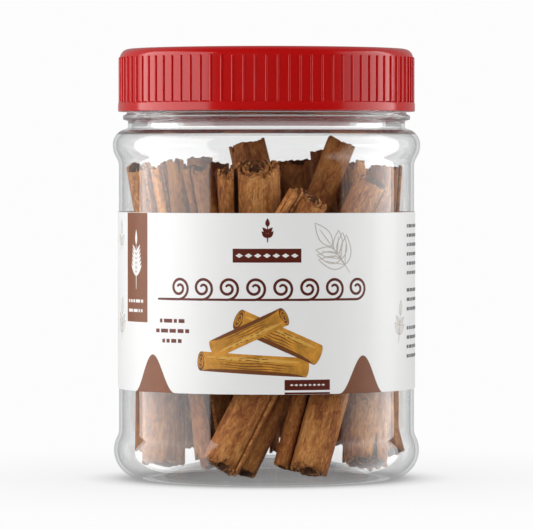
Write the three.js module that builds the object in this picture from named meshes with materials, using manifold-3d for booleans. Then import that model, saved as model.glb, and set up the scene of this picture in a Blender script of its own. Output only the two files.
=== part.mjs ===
// A closed clear jar packed with cinnamon quills: a blown plastic jar with a bulge at its
// shoulder and another at its base, a ribbed red screw lid, a paper sleeve label, and the
// heap of rolled bark inside. Millimetres, +Z up, origin at the centre of the base.
// The front of the label faces -Y.

import * as THREE from "three";
import { mergeVertices } from "three/addons/utils/BufferGeometryUtils.js";
import Module from "manifold-3d";

const wasm = await Module();
wasm.setup();

// ---------------------------------------------------------------- driving dimensions

const WALL = 1.0;                 // thickness of the jar's wall
const FLOOR = 1.0;                // thickness of the jar's base
const PANEL_RADIUS = 43.7;        // straight part that carries the label
const PANEL_LOW = 12.9;
const PANEL_HIGH = 94.3;
const ROUND_SIDES = 40;           // facets round the jar and the label

const BASE_BULGE = { centreR: 36.7, centreZ: 8.5, radius: 8.5 };
const FOOT_INNER_RADIUS = 33.5;   // the flat ring that the jar stands on ends here
const PUSH_UP_HEIGHT = 5.7;       // the base is pushed up into a shallow dome
const PUSH_UP_STEPS = 4;

const SHOULDER_Z = 98.8;          // widest level of the shoulder bulge
const SHOULDER_RADIUS = 45.5;
const SHOULDER_LOWER_ARC = 7.2;
const SHOULDER_UPPER_ARC = 4.8;

const NECK_RADIUS = 41.0;
const NECK_LOW = 103.6;
const RING_LOW = 105.9;           // carrying ring under the lid
const RING_HIGH = 107.9;
const RING_RADIUS = 42.5;
const RING_EDGE = 0.4;            // slope at the ring's upper and lower edge
const FINISH_RADIUS = 41.4;       // the part of the neck that the lid covers
const MOUTH_RADIUS = 39.7;
const MOUTH_Z = 124.9;

const LID_LOW = 108.6;
const LID_HIGH = 127.1;
const LID_RADIUS = 43.4;
const LID_BAND_RADIUS = 43.95;
const LID_BAND_HEIGHT = 2.5;
const LID_BAND_SLOPE = 0.3;       // where the band at the lid's foot goes over into its wall
const LID_WALL = 1.5;
const LID_TOP = 1.7;
const LID_EDGE_ARC = 2.7;
const RIB_COUNT = 83;
const RIB_WIDTH = 0.85;
const RIB_STANDS_OUT = 0.42;
const RIB_TOP = 124.7;
const RIB_ROOT = 0.5;             // how far a rib runs down into the band
const RIB_FALL = 1.2;             // how far its sloping top end comes down
const RIB_CREST_DROP = 0.1;       // a bar's flat face lies this much behind a round rib's crest

const LABEL_LOW = 26.9;
const LABEL_HIGH = 79.0;
const LABEL_THICKNESS = 0.3;
const TOUCH_GAP = 0.3;            // left between pieces that touch

const BARK = 1.2;                 // thickness of the rolled bark
const TIGHT_WIDTH = 5.6;          // a roll narrower than this has no hollow
const ROLL_PITCH = 1.45 * BARK;   // from one layer of a roll to the next
const ROLL_TURNS = 1.3;
const ROLL_CORE = 0.9;            // the bark's middle line never curls tighter than this
const STEPS_A_TURN = 9;
const ROLL_OVERLAP = 1.06;        // how far the two rolls of a double quill run into each other
const HEAP_GAP = 0.4;             // between the heap and the inside of the jar
const TORN = 0.8;                 // how far a torn end wanders
const HEAP_SIDES = 16;            // facets round the core of the heap

// Quills that show through the front, each from its top to its foot (x, y, z of the axis).
// turn is the angle of its seam from the front; split is the share of a double quill's width
// that its left roll takes; nod slopes the top end, or the foot end if it is below zero, so
// that the end faces the front; squeeze flattens the section from front to back.
const FRONT_QUILLS = [
  // ends that show above the label
  { form: "scroll", width: 8.4, top: [-38.1, -3, 92.2], foot: [-25.4, -4, 17], turn: 30, nod: 1.6 },
  { form: "scroll", width: 4.5, top: [-32.2, -21, 92.4], foot: [-25.8, -27, 57], turn: 120, nod: 0.5 },
  { form: "scroll", width: 5.4, top: [-29.6, -17.5, 93.4], foot: [-24.6, -20, 57], turn: -60, nod: 0.8 },
  { form: "scroll", width: 5.6, top: [-26.7, -22, 94.3], foot: [-18.5, -22, 7.2], turn: -60, nod: 0.4 },
  { form: "double", width: 8.8, top: [-20.3, -31, 91.6], foot: [-14.2, -31.5, 60], turn: -10,
    nod: 1.8, split: 0.3 },
  { form: "double", width: 18.4, top: [-5.3, -33, 91.8], foot: [-3.4, -17, 33], turn: 0, nod: 1.2,
    split: 0.3 },
  { form: "scroll", width: 12.1, top: [-5.5, -12, 99.2], foot: [8, -5, 40], turn: 180, nod: -0.1 },
  { form: "scroll", width: 10.8, top: [9.1, -9, 93.6], foot: [12, 4, 14], turn: 120, nod: -0.1 },
  { form: "scroll", width: 7.5, top: [16.4, 1, 97.0], foot: [23, 2, 30], turn: 200, nod: -0.1 },
  { form: "scroll", width: 9.6, top: [22.3, -16, 99.3], foot: [6.5, -21, 60], turn: 160, nod: -0.2 },
  { form: "double", width: 10.8, top: [12.8, -34.4, 82.9], foot: [-11.6, -34.6, 44], turn: -15,
    nod: 1.6, split: 0.22 },
  { form: "open", width: 2.5, top: [8.0, -36.6, 86.2], foot: [-13.5, -37.6, 50], turn: 75, nod: 0.3 },
  { form: "open", width: 2.8, top: [9.4, -38.2, 85.2], foot: [-12, -39, 50], turn: 60, nod: 0.3 },
  { form: "scroll", width: 5.2, top: [27.2, -9, 94.4], foot: [31.2, -14, 62], turn: 200, nod: 1.4 },
  { form: "scroll", width: 9.9, top: [35.2, -2, 92.2], foot: [32.4, -1, 54], turn: 100, nod: -0.1 },
  { form: "scroll", width: 9.6, top: [30.8, -20.8, 87.7], foot: [14.9, -28, 57], turn: 60, nod: 2.0 },
  { form: "open", width: 5.2, top: [35, -14.4, 84.2], foot: [26.5, -22, 66], turn: 180, nod: 0.4 },
  // ends that show below the label
  { form: "scroll", width: 14.4, top: [-30.6, -17.4, 49], foot: [-30.4, -17, 5.3], turn: -40, nod: -1 },
  { form: "double", width: 6.6, top: [-23, -28.8, 48], foot: [-15.8, -31.6, 6], turn: 0, nod: -1,
    split: 0.7 },
  { form: "scroll", width: 7, top: [-12, -20, 50], foot: [-14.4, -21, 10], turn: 200, nod: -0.1 },
  { form: "scroll", width: 12.2, top: [8.5, -31, 50], foot: [-13.5, -33.2, 6], turn: 60, nod: -1.5 },
  { form: "scroll", width: 8.8, top: [13.5, -16, 45], foot: [-6.9, -28.4, 3.6], turn: -90, nod: -0.6 },
  { form: "scroll", width: 4, top: [3, -6, 45], foot: [1.9, -12, 8.6], turn: 0, nod: -0.1 },
  { form: "double", width: 15.7, top: [22.5, -25, 50], foot: [10, -32.8, 5], turn: 4, nod: -1.1,
    split: 0.3 },
  { form: "scroll", width: 13.6, top: [31.5, -10, 58], foot: [28.9, -20.4, 5.6], turn: -80,
    nod: -1.5, squeeze: 0.7 },
  { form: "scroll", width: 9.2, top: [25.7, 2, 52], foot: [37.4, -2, 7.6], turn: 150, nod: -0.6 },
];

// Quills round the back and the sides stand in a ring by rule, and a few fill the middle.
// Each is this wide or a little more, leans along the wall and ends at its own heights.
const STANDING = { width: 11, wider: 2.5, lean: 5, topSpread: 5, footSpread: 3 };
const BACK_RING = { count: 8, from: 106, to: 254, radius: 35.4, top: 91.5, foot: 6.5 };
const MIDDLE_RING = { count: 4, from: 112, to: 248, radius: 21, top: 92.5, foot: 9 };
const CENTRE_QUILL = { count: 1, from: 200, to: 200, radius: 7, top: 91, foot: 9 };
const CORE = { radius: 35, narrow: 25, low: 27, lowWide: 34, highWide: 70, high: 79 };

const COLOURS = { plastic: 0xe9eef0, lid: 0xbf0f12, paper: 0xf6f3ef, bark: 0x8a5230 };

// ---------------------------------------------------------------- helpers

const degrees = THREE.MathUtils.degToRad;

// A repeatable number from 0 to 1 for each pair of whole numbers.
function draw(index, kind) {
  const wave = Math.sin(index * 12.9898 + kind * 78.233) * 43758.5453;
  return wave - Math.floor(wave);
}

// Points of an arc in the radius-height plane, from one angle to the other.
function arc(centreR, centreZ, radius, from, to, steps) {
  const points = [];
  for (let i = 0; i <= steps; i += 1) {
    const angle = degrees(from + ((to - from) * i) / steps);
    points.push([centreR + radius * Math.cos(angle), centreZ + radius * Math.sin(angle)]);
  }
  return points;
}

// Turns a profile of [radius, height] points round the Z axis.
function turned(profile, sides) {
  const points = profile.map(([r, z]) => new THREE.Vector2(r, z));
  const geometry = new THREE.LatheGeometry(points, sides);
  geometry.rotateX(Math.PI / 2);
  return geometry;
}

// A geometry as a solid that can be joined and cut.
function solidOf(geometry) {
  const bare = geometry.clone();
  bare.deleteAttribute("normal");
  bare.deleteAttribute("uv");
  const merged = mergeVertices(bare, 1e-4);
  const index = merged.index.array;
  const kept = [];
  for (let i = 0; i < index.length; i += 3) {
    const [a, b, c] = [index[i], index[i + 1], index[i + 2]];
    if (a !== b && b !== c && c !== a) kept.push(a, b, c);
  }
  const vertProperties = new Float32Array(merged.attributes.position.array);
  const triVerts = new Uint32Array(kept);
  return new wasm.Manifold(new wasm.Mesh({ numProp: 3, vertProperties, triVerts }));
}

function geometryOf(solid) {
  const mesh = solid.getMesh();
  const geometry = new THREE.BufferGeometry();
  geometry.setAttribute("position", new THREE.BufferAttribute(mesh.vertProperties, 3));
  geometry.setIndex(new THREE.BufferAttribute(mesh.triVerts, 1));
  geometry.computeVertexNormals();
  return geometry;
}

function joined(solids) {
  return solids.reduce((sum, next) => sum.add(next));
}

// The one body that is left when closed-off hollows and loose scraps are dropped.
function largestBody(solid) {
  const bodies = solid.decompose();
  bodies.sort((a, b) => b.volume() - a.volume());
  return bodies[0];
}

function named(name, geometry, colour, roughness, extra = {}) {
  const material = new THREE.MeshStandardMaterial({ color: colour, roughness, metalness: 0, ...extra });
  const mesh = new THREE.Mesh(geometry, material);
  mesh.name = name;
  return mesh;
}

// ---------------------------------------------------------------- jar

// The shoulder and the base bulge are the same arcs inside and outside, `inset` apart.
function shoulder(inset, steps) {
  const lowerCentre = SHOULDER_RADIUS - SHOULDER_LOWER_ARC;
  const upperCentre = SHOULDER_RADIUS - SHOULDER_UPPER_ARC;
  const lower = arc(lowerCentre, SHOULDER_Z, SHOULDER_LOWER_ARC - inset, -36, 0, steps);
  const upper = arc(upperCentre, SHOULDER_Z, SHOULDER_UPPER_ARC - inset, 0, 84, steps + 1);
  return [...lower, ...upper.slice(1)];
}

function baseBulge(inset, from, steps) {
  const { centreR, centreZ, radius } = BASE_BULGE;
  return arc(centreR, centreZ, radius - inset, from, 28, steps);
}

// The base from its middle out to the foot ring, `rise` above the underside.
function pushUp(rise) {
  const points = [];
  for (let i = 0; i <= PUSH_UP_STEPS; i += 1) {
    const share = i / PUSH_UP_STEPS;
    points.push([FOOT_INNER_RADIUS * share, PUSH_UP_HEIGHT * (1 - share * share) + rise]);
  }
  return points;
}

function jarOutside() {
  return [
    ...pushUp(0),
    ...baseBulge(0, -90, 6),
    [PANEL_RADIUS, PANEL_LOW],
    [PANEL_RADIUS, PANEL_HIGH],
    ...shoulder(0, 3),
    [NECK_RADIUS, NECK_LOW],
    [NECK_RADIUS, RING_LOW],
    [RING_RADIUS, RING_LOW + RING_EDGE],
    [RING_RADIUS, RING_HIGH - RING_EDGE],
    [FINISH_RADIUS, RING_HIGH],
    [FINISH_RADIUS, MOUTH_Z],
  ];
}

// The inside from the mouth down to the middle of the floor, `inset` from the outside.
function jarInside(inset, floor, mouthRadius) {
  const neck = [[mouthRadius, MOUTH_Z], [mouthRadius, NECK_LOW - inset]];
  return [
    ...neck,
    ...shoulder(inset, 2).reverse().slice(1),
    [PANEL_RADIUS - inset, PANEL_HIGH],
    [PANEL_RADIUS - inset, PANEL_LOW],
    ...baseBulge(inset, -78, 4).reverse(),
    ...pushUp(floor).reverse(),
  ];
}

function jar() {
  const profile = [...jarOutside(), ...jarInside(WALL, FLOOR, MOUTH_RADIUS)];
  return named("jar", turned(profile, ROUND_SIDES), COLOURS.plastic, 0.05, {
    transparent: true,
    opacity: 0.35,
  });
}

// ---------------------------------------------------------------- lid

function lidShell() {
  const insideRadius = LID_RADIUS - LID_WALL;
  const edge = arc(LID_RADIUS - LID_EDGE_ARC, LID_HIGH - LID_EDGE_ARC, LID_EDGE_ARC, 0, 90, 4);
  return solidOf(turned([
    [0, LID_HIGH - LID_TOP],
    [insideRadius, LID_HIGH - LID_TOP],
    [insideRadius, LID_LOW],
    [LID_BAND_RADIUS, LID_LOW],
    [LID_BAND_RADIUS, LID_LOW + LID_BAND_HEIGHT],
    [LID_RADIUS, LID_LOW + LID_BAND_HEIGHT + LID_BAND_SLOPE],
    ...edge,
    [0, LID_HIGH],
  ], RIB_COUNT));
}

// One upright grip rib: a bar whose top end slopes back into the lid.
function ribOutline() {
  const inner = LID_RADIUS - LID_WALL / 2;
  const outer = LID_RADIUS + RIB_STANDS_OUT - RIB_CREST_DROP;
  const low = LID_LOW + LID_BAND_HEIGHT - RIB_ROOT;
  const shape = new THREE.Shape();
  shape.moveTo(inner, low);
  shape.lineTo(outer, low);
  shape.lineTo(outer, RIB_TOP - RIB_FALL);
  shape.lineTo(inner, RIB_TOP);
  shape.closePath();
  return shape;
}

function lid() {
  const rib = new THREE.ExtrudeGeometry(ribOutline(), { depth: RIB_WIDTH, bevelEnabled: false });
  rib.translate(0, 0, -RIB_WIDTH / 2);
  rib.rotateX(Math.PI / 2);
  const ribs = [];
  for (let i = 0; i < RIB_COUNT; i += 1) {
    const angle = (i / RIB_COUNT) * 2 * Math.PI - Math.PI / 2;
    ribs.push(solidOf(rib.clone().rotateZ(angle)));
  }
  return named("lid", geometryOf(joined([lidShell(), ...ribs])), COLOURS.lid, 0.35);
}

// ---------------------------------------------------------------- label

function label() {
  const inner = PANEL_RADIUS + TOUCH_GAP;
  const outer = inner + LABEL_THICKNESS;
  const profile = [
    [inner, LABEL_LOW],
    [outer, LABEL_LOW],
    [outer, LABEL_HIGH],
    [inner, LABEL_HIGH],
    [inner, LABEL_LOW],
  ];
  return named("label", turned(profile, ROUND_SIDES), COLOURS.paper, 0.5);
}

// ---------------------------------------------------------------- cinnamon

// The middle line of a sheet of bark rolled round once and a bit more.
function scrollPath(width) {
  const start = width / 2 - BARK / 2;
  const turns = Math.min(ROLL_TURNS, (start - ROLL_CORE) / ROLL_PITCH);
  const steps = Math.ceil(turns * STEPS_A_TURN);
  const path = [];
  for (let i = 0; i <= steps; i += 1) {
    const turn = (turns * i) / steps;
    const radius = start - ROLL_PITCH * turn;
    const angle = degrees(-90) + turn * 2 * Math.PI;
    path.push([radius * Math.cos(angle), radius * Math.sin(angle)]);
  }
  return path;
}

// Bark that has curled only part of the way round.
function openPath(width) {
  return arc(0, 0, width / 2 - BARK / 2, -45, 225, 8);
}

// Gives the middle line its thickness and closes it into an outline.
function barkOutline(path) {
  const outer = [];
  const inner = [];
  path.forEach(([x, y], i) => {
    const before = path[Math.max(i - 1, 0)];
    const after = path[Math.min(i + 1, path.length - 1)];
    const along = new THREE.Vector2(after[0] - before[0], after[1] - before[1]).normalize();
    outer.push(new THREE.Vector2(x + (along.y * BARK) / 2, y - (along.x * BARK) / 2));
    inner.push(new THREE.Vector2(x - (along.y * BARK) / 2, y + (along.x * BARK) / 2));
  });
  return new THREE.Shape([...outer, ...inner.reverse()]);
}

// The section of one roll. A tight one is solid bark, an eight-sided bar.
function rollSection(form, width) {
  if (width < TIGHT_WIDTH) {
    return new THREE.Shape(arc(0, 0, width / 2, 0, 315, 7).map((point) => new THREE.Vector2(...point)));
  }
  return barkOutline(form === "open" ? openPath(width) : scrollPath(width));
}

// The rolls of a quill, each with the place of its centre in the quill's section.
// A double quill is a sheet rolled in from both edges: two rolls meet at a seam in front.
function rollsOf(form, width, split) {
  if (form !== "double") return [{ x: 0, y: 0, width }];
  const left = width * split * ROLL_OVERLAP;
  const right = width * (1 - split) * ROLL_OVERLAP;
  const front = Math.max(left, right) / 2;
  return [
    { x: (left - width) / 2, y: front - left / 2, width: left },
    { x: (width - right) / 2, y: front - right / 2, width: right },
  ];
}

// How far the torn end stands above or below its mean at a place on the section.
function tear(x, y, seed) {
  return TORN * Math.sin(x * 1.7 + seed * 2.3) * Math.cos(y * 1.9 + seed * 1.1);
}

function quill({ form, width, top, foot, turn, nod, split = 0.5, squeeze = 1 }, seed) {
  const high = new THREE.Vector3(...top);
  const low = new THREE.Vector3(...foot);
  const length = high.distanceTo(low);
  const up = high.clone().sub(low).normalize();
  const back = new THREE.Vector3(0, 1, 0);
  back.addScaledVector(up, -back.dot(up)).normalize();
  const across = back.clone().cross(up);
  const place = new THREE.Matrix4().makeBasis(across, back, up).setPosition(low);

  const rolls = rollsOf(form, width, split).map((roll) => {
    const shape = rollSection(form, roll.width);
    const geometry = new THREE.ExtrudeGeometry(shape, { depth: length, bevelEnabled: false });
    geometry.translate(roll.x, roll.y, 0);
    geometry.rotateZ(degrees(turn));
    geometry.scale(1, squeeze, 1);
    const position = geometry.attributes.position;
    for (let i = 0; i < position.count; i += 1) {
      const [x, y, z] = [position.getX(i), position.getY(i), position.getZ(i)];
      const lean = (Math.abs(nod) * y) / (width / 2);
      const isTop = z > length / 2;
      const slope = isTop === nod > 0 ? lean : 0;
      position.setZ(i, z + tear(x, y, seed + (isTop ? 1 : 0)) + (isTop ? slope : -slope));
    }
    return solidOf(geometry.applyMatrix4(place));
  });
  return joined(rolls);
}

// A quill that stands at an angle round the jar's axis, leaning a little along the wall.
function standing(ring, index) {
  const share = ring.count > 1 ? index / (ring.count - 1) : 0;
  const angle = degrees(ring.from + (ring.to - ring.from) * share - 90);
  const lean = degrees(STANDING.lean * Math.sin(index * 0.8));
  const form = ["double", "scroll", "open"][index % 3];
  const width = STANDING.width + STANDING.wider * draw(index, ring.count);
  const radius = ring.radius - (width - STANDING.width) / 2;
  const point = (at, z) => [radius * Math.cos(at), radius * Math.sin(at), z];
  return {
    form,
    width,
    top: point(angle + lean, ring.top + STANDING.topSpread * (draw(index, 3) - 0.5)),
    foot: point(angle - lean, ring.foot + STANDING.footSpread * draw(index, 4)),
    turn: 360 * draw(index, 5),
    nod: 0,
  };
}

function core() {
  const { radius, narrow, low, lowWide, highWide, high } = CORE;
  return solidOf(turned([
    [0, low],
    [narrow, low],
    [narrow, lowWide],
    [radius, lowWide],
    [radius, highWide],
    [narrow, highWide],
    [narrow, high],
    [0, high],
  ], HEAP_SIDES));
}

function cinnamon() {
  const quills = [...FRONT_QUILLS];
  for (const ring of [BACK_RING, MIDDLE_RING, CENTRE_QUILL]) {
    for (let i = 0; i < ring.count; i += 1) quills.push(standing(ring, i));
  }
  const heap = joined([core(), ...quills.map(quill)]);
  const room = jarInside(WALL + HEAP_GAP, FLOOR + HEAP_GAP, MOUTH_RADIUS - HEAP_GAP);
  const space = solidOf(turned([...room.reverse(), [0, MOUTH_Z]], ROUND_SIDES));
  return named("cinnamon_sticks", geometryOf(largestBody(heap.intersect(space))), COLOURS.bark, 0.85);
}

// ---------------------------------------------------------------- the whole object

const filledJar = new THREE.Group();
filledJar.add(jar(), lid(), label(), cinnamon());

export default filledJar;
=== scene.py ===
"""A closed clear jar of cinnamon quills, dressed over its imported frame."""

import math

import bmesh
import bpy
from mathutils import Matrix, Vector, noise


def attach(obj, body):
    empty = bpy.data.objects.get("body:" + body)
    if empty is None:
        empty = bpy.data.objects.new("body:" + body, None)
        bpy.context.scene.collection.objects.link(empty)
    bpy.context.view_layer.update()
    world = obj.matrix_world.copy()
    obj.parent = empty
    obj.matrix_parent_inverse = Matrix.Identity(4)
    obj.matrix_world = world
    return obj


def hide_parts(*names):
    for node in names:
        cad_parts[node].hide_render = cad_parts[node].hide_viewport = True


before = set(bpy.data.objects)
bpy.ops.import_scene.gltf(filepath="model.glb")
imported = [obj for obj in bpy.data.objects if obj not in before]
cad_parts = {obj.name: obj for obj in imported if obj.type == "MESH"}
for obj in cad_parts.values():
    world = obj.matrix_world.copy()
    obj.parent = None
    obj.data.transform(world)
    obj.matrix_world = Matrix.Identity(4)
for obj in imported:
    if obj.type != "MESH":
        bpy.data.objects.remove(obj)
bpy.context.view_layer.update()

MM = 0.001
UP = Vector((0, 0, 1))

# ---------------- sizes in millimetres, and counts

WALL = 1.0
PANEL_RADIUS = 43.7
BASE_CENTRE = (36.7, 8.5)
BASE_RADIUS = 8.5
FOOT_INNER_RADIUS = 33.5
FOOT_RING_WIDTH = 1.5
PUSH_UP_HEIGHT = 5.7
SHOULDER_LOWER = (38.3, 98.8)
SHOULDER_LOWER_RADIUS = 7.2
SHOULDER_UPPER = (40.7, 98.8)
SHOULDER_UPPER_RADIUS = 4.8
NECK_RADIUS = 41.0
RING_LOW = 105.9
RING_HIGH = 107.9
RING_RADIUS = 42.5
RING_LOWER_SLOPE = 0.35
RING_UPPER_SLOPE = 0.45
RING_LEAD = 0.8
FINISH_RADIUS = 41.4
MOUTH_RADIUS = 39.7
MOUTH_Z = 124.9
PANEL_FILLET = 4.0
NECK_FILLET = 0.6
ROUND_SIDES = 180

# levels where the plastic is thick enough to bend light: the fold over the shoulder, and the neck
FOLD_LOW = 101.9
FOLD_HIGH = 103.1
THICK_NECK_LOW = 104.9

LID_LOW = 108.6
LID_HIGH = 127.1
LID_RADIUS = 43.4
LID_BAND_RADIUS = 43.95
LID_BAND_HEIGHT = 2.5
LID_BAND_SLOPE = 0.25
LID_INNER_LEAD = 4
LID_OUTER_LEAD = 8
LID_FLAT_RADIUS = 35.4
LID_WALL = 1.5
LID_TOP = 1.7
LID_CORNER = 2.7
EDGE_FILLET = 0.35
EDGE_STEPS = 4
RIB_COUNT = 83
RIB_WIDTH = 0.85
RIB_DEPTH = 0.42
RIB_TOP = 124.7
RIB_ROOT = 0.4
RIB_EDGE_BAND = 0.06

LABEL_LOW = 26.9
LABEL_HIGH = 79.0
LABEL_INNER = 43.8
LABEL_OUTER = 44.05
LABEL_BEND_STEP = 2

BARK = 0.85
ROLL_PITCH = 1.35 * BARK
ROLL_STEPS = 120
SCROLL_CORE = 0.4
DOUBLE_CORE = 0.5
SMALLEST_HOLLOW = 1.6
COLUMN_STEP = 0.5
HIDDEN_COLUMN_STEP = 0.8
FEWEST_COLUMNS = 20
FEWEST_ROWS = 14
ROW_TO_COLUMN = 5

# a double quill's rolls: their radius as a share of their width, and how far, in degrees, the
# bark goes round their outside before it curls in
ROLL_WIDENING = 0.53
ROUND_THE_OUTSIDE = 200
OPEN_DEGREES = (-48, 228)

SHARP_ANGLE = math.radians(40)

# ---------------- bark colours

BARK_RED = (0.225, 0.068, 0.021)
BARK_BROWN = (0.34, 0.125, 0.036)
BARK_TAN = (0.52, 0.235, 0.072)
BARK_STRAW = (0.63, 0.34, 0.13)
BARK_SPLIT = (0.055, 0.018, 0.008)
# the inner face: a darker brown than the outside, partly the bark's own inner colour and partly
# painted shade for a quill's hollow
BARK_INNER_AND_HOLLOW_SHADE = (0.055, 0.021, 0.010)
BARK_INSIDE = (0.19, 0.085, 0.038)
BARK_TORN = (0.24, 0.075, 0.022)
BARK_FIBRE = (0.60, 0.29, 0.10)
# multipliers on the bark by each quill's tone, which is partly the quill's own colour and partly
# painted light and shade for where it stands in the jar
DARK_QUILL = (0.42, 0.32, 0.26)
MIDDLE_QUILL = (0.97, 0.88, 0.76)
PALE_QUILL = (1.8, 1.85, 1.8)

# ---------------- inks

INKS = {
    "dark": (0.105, 0.010, 0.002),
    "brown": (0.18, 0.052, 0.014),
    "pale": (0.80, 0.78, 0.76),
    "taupe": (0.52, 0.47, 0.43),
    "grey": (0.10, 0.10, 0.10),
    "ochre": (0.53, 0.235, 0.022),
    "honey": (0.66, 0.36, 0.065),
    "umber": (0.17, 0.052, 0.010),
}
PAPER_ROUGHNESS = 0.42
PAPER_SPECULAR = 0.45
INK_THICKNESS = 0.02
INK_LEVEL = 0.006

# ---------------- shares of light, from 0 to 1

MIRROR_HEAD_ON = 0.045
MIRROR_ASLANT = 0.5
THICK_SEEN_STRAIGHT = 0.25
BACKDROP = 0.98
ROOM_LIGHT = 0.62
ROOM_MIRRORED_FRONT = 0.01
ROOM_MIRRORED_BACK = 0.35
FLOOR_BOUNCE = 0.5
FLOOR_MIRRORED = 0.12

# ---------------- shade, lamps, camera, in metres

FLOOR_SHADE_REACH = 0.12
CONTACT_SHADE_REACH = 0.016
BOX_DISTANCE = 0.40
LIGHT_DISTANCE = 0.44
BOX_LOW = -0.45
BOX_TOP = 0.31
MIRRORED_TOP = 0.44
BIG_LAMP_SIZE = (0.8, 0.6)
BIG_LAMP_DISTANCE = 1.2
BIG_LAMP_HEIGHT = 0.3
AIM_HEIGHT = 0.06
LEFT_DEGREES = (-113, -43)
RIGHT_DEGREES = (58, 113)

CAMERA_DISTANCE = 1.377
CAMERA_HEIGHT = 0.0929
CAMERA_PITCH_DEGREES = 1.23
CAMERA_LENS_MM = 313.8


# ---------------- material helpers

def new_material(name, roughness=0.5, specular=0.5):
    material = bpy.data.materials.new(name)
    material.use_nodes = True
    tree = material.node_tree
    shader = tree.nodes["Principled BSDF"]
    shader.inputs["Roughness"].default_value = roughness
    shader.inputs["Specular IOR Level"].default_value = specular
    return material, tree, shader


def add_node(tree, kind, **values):
    """A node with its inputs set by name and its settings by attribute."""
    node = tree.nodes.new("ShaderNode" + kind)
    for key, value in values.items():
        if key in node.inputs:
            node.inputs[key].default_value = value
        else:
            setattr(node, key, value)
    return node


def ramp(tree, source, stops):
    """Colours by the source's value; a stop is a place with a colour or with a grey from 0 to 1."""
    node = add_node(tree, "ValToRGB")
    elements = node.color_ramp.elements
    for index, (place, colour) in enumerate(stops):
        if not isinstance(colour, tuple):
            colour = (colour,) * 3
        element = elements[index] if index < 2 else elements.new(place)
        element.position = place
        element.color = (*colour, 1.0)
    tree.links.new(source, node.inputs["Fac"])
    return node.outputs["Color"]


def feed(tree, socket, value):
    """Gives a socket its value: another socket, a colour or a number."""
    if isinstance(value, bpy.types.NodeSocket):
        tree.links.new(value, socket)
    else:
        socket.default_value = (*value, 1.0) if isinstance(value, tuple) else value


def mixed(tree, factor, first, second, blend="MIX"):
    """Mixes two colours."""
    node = add_node(tree, "Mix", data_type="RGBA", blend_type=blend)
    for place, value in ((0, factor), (6, first), (7, second)):
        feed(tree, node.inputs[place], value)
    return node.outputs[2]


def math_node(tree, operation, first, second):
    node = add_node(tree, "Math", operation=operation)
    feed(tree, node.inputs[0], first)
    feed(tree, node.inputs[1], second)
    return node.outputs[0]


def noise_of(tree, vector, stretch, scale, detail, rough=0.6, distort=0.0):
    """Noise over a vector stretched along its axes."""
    mapping = add_node(tree, "Mapping", Scale=stretch)
    tree.links.new(vector, mapping.inputs["Vector"])
    node = add_node(tree, "TexNoise", Scale=scale, Detail=detail, Roughness=rough, Distortion=distort)
    tree.links.new(mapping.outputs["Vector"], node.inputs["Vector"])
    return node.outputs["Fac"]


def either_ray(tree, first, second):
    """One where a ray is of either kind, and otherwise zero."""
    light_path = add_node(tree, "LightPath")
    return math_node(tree, "MAXIMUM", light_path.outputs[first], light_path.outputs[second])


def mixed_surface(tree, share, first, second):
    """Makes the surface a mix of two shaders."""
    mix = add_node(tree, "MixShader")
    tree.links.new(share, mix.inputs["Fac"])
    tree.links.new(first, mix.inputs[1])
    tree.links.new(second, mix.inputs[2])
    tree.links.new(mix.outputs["Shader"], tree.nodes["Material Output"].inputs["Surface"])


def smooth_finish(name, clouds, stops, roughness, specular):
    """A finish whose colour drifts a little; clouds are the scale and detail of the drift."""
    material, tree, shader = new_material(name, roughness, specular)
    place = add_node(tree, "TexCoord").outputs["Object"]
    cloud = noise_of(tree, place, (1, 1, 1), *clouds)
    tree.links.new(ramp(tree, cloud, stops), shader.inputs["Base Color"])
    return material, tree, shader, place


def bump(tree, shader, height, strength, distance):
    node = add_node(tree, "Bump", Strength=strength, Distance=distance)
    tree.links.new(height, node.inputs["Height"])
    tree.links.new(node.outputs["Normal"], shader.inputs["Normal"])


# ---------------- materials

def clear_plastic():
    """A thin moulded wall: it mirrors more the more aslant it is seen, and lets lamps through."""
    material, tree, shader = new_material("clear_plastic")
    tree.nodes.remove(shader)
    through = add_node(tree, "BsdfTransparent", Color=(0.988, 0.99, 0.99, 1))
    mirror = add_node(tree, "BsdfAnisotropic", Color=(1, 1, 1, 1), Roughness=0.02)
    aslant = add_node(tree, "LayerWeight", Blend=0.5).outputs["Facing"]
    share = math_node(tree, "POWER", aslant, 3.0)
    share = math_node(tree, "MULTIPLY", share, MIRROR_ASLANT)
    share = math_node(tree, "ADD", share, MIRROR_HEAD_ON)
    lamps = either_ray(tree, "Is Shadow Ray", "Is Diffuse Ray")
    seen = math_node(tree, "SUBTRACT", 1.0, lamps)
    share = math_node(tree, "MULTIPLY", share, seen)
    mixed_surface(tree, share, through.outputs["BSDF"], mirror.outputs["BSDF"])
    return material


def thick_clear_plastic():
    """The same plastic where its folds are thick enough to bend what is seen through them."""
    material, tree, shader = new_material("thick_clear_plastic", 0.02)
    shader.inputs["Base Color"].default_value = (0.99, 0.991, 0.991, 1)
    shader.inputs["IOR"].default_value = 1.45
    shader.inputs["Transmission Weight"].default_value = 1.0
    lit = add_node(tree, "BsdfTransparent", Color=(0.974, 0.976, 0.976, 1))
    lamps = either_ray(tree, "Is Shadow Ray", "Is Diffuse Ray")
    straight = math_node(tree, "MAXIMUM", lamps, THICK_SEEN_STRAIGHT)
    mixed_surface(tree, straight, shader.outputs["BSDF"], lit.outputs["BSDF"])
    return material


def red_plastic():
    reds = [(0.3, (0.475, 0.0022, 0.0018)), (0.7, (0.5, 0.003, 0.0024))]
    material, tree, shader, place = smooth_finish("red_plastic", (90.0, 2.0), reds, 0.15, 0.62)
    grain = noise_of(tree, place, (1, 1, 1), 2500.0, 2.0)
    bump(tree, shader, grain, 0.05, 0.0001)
    return material


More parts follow.
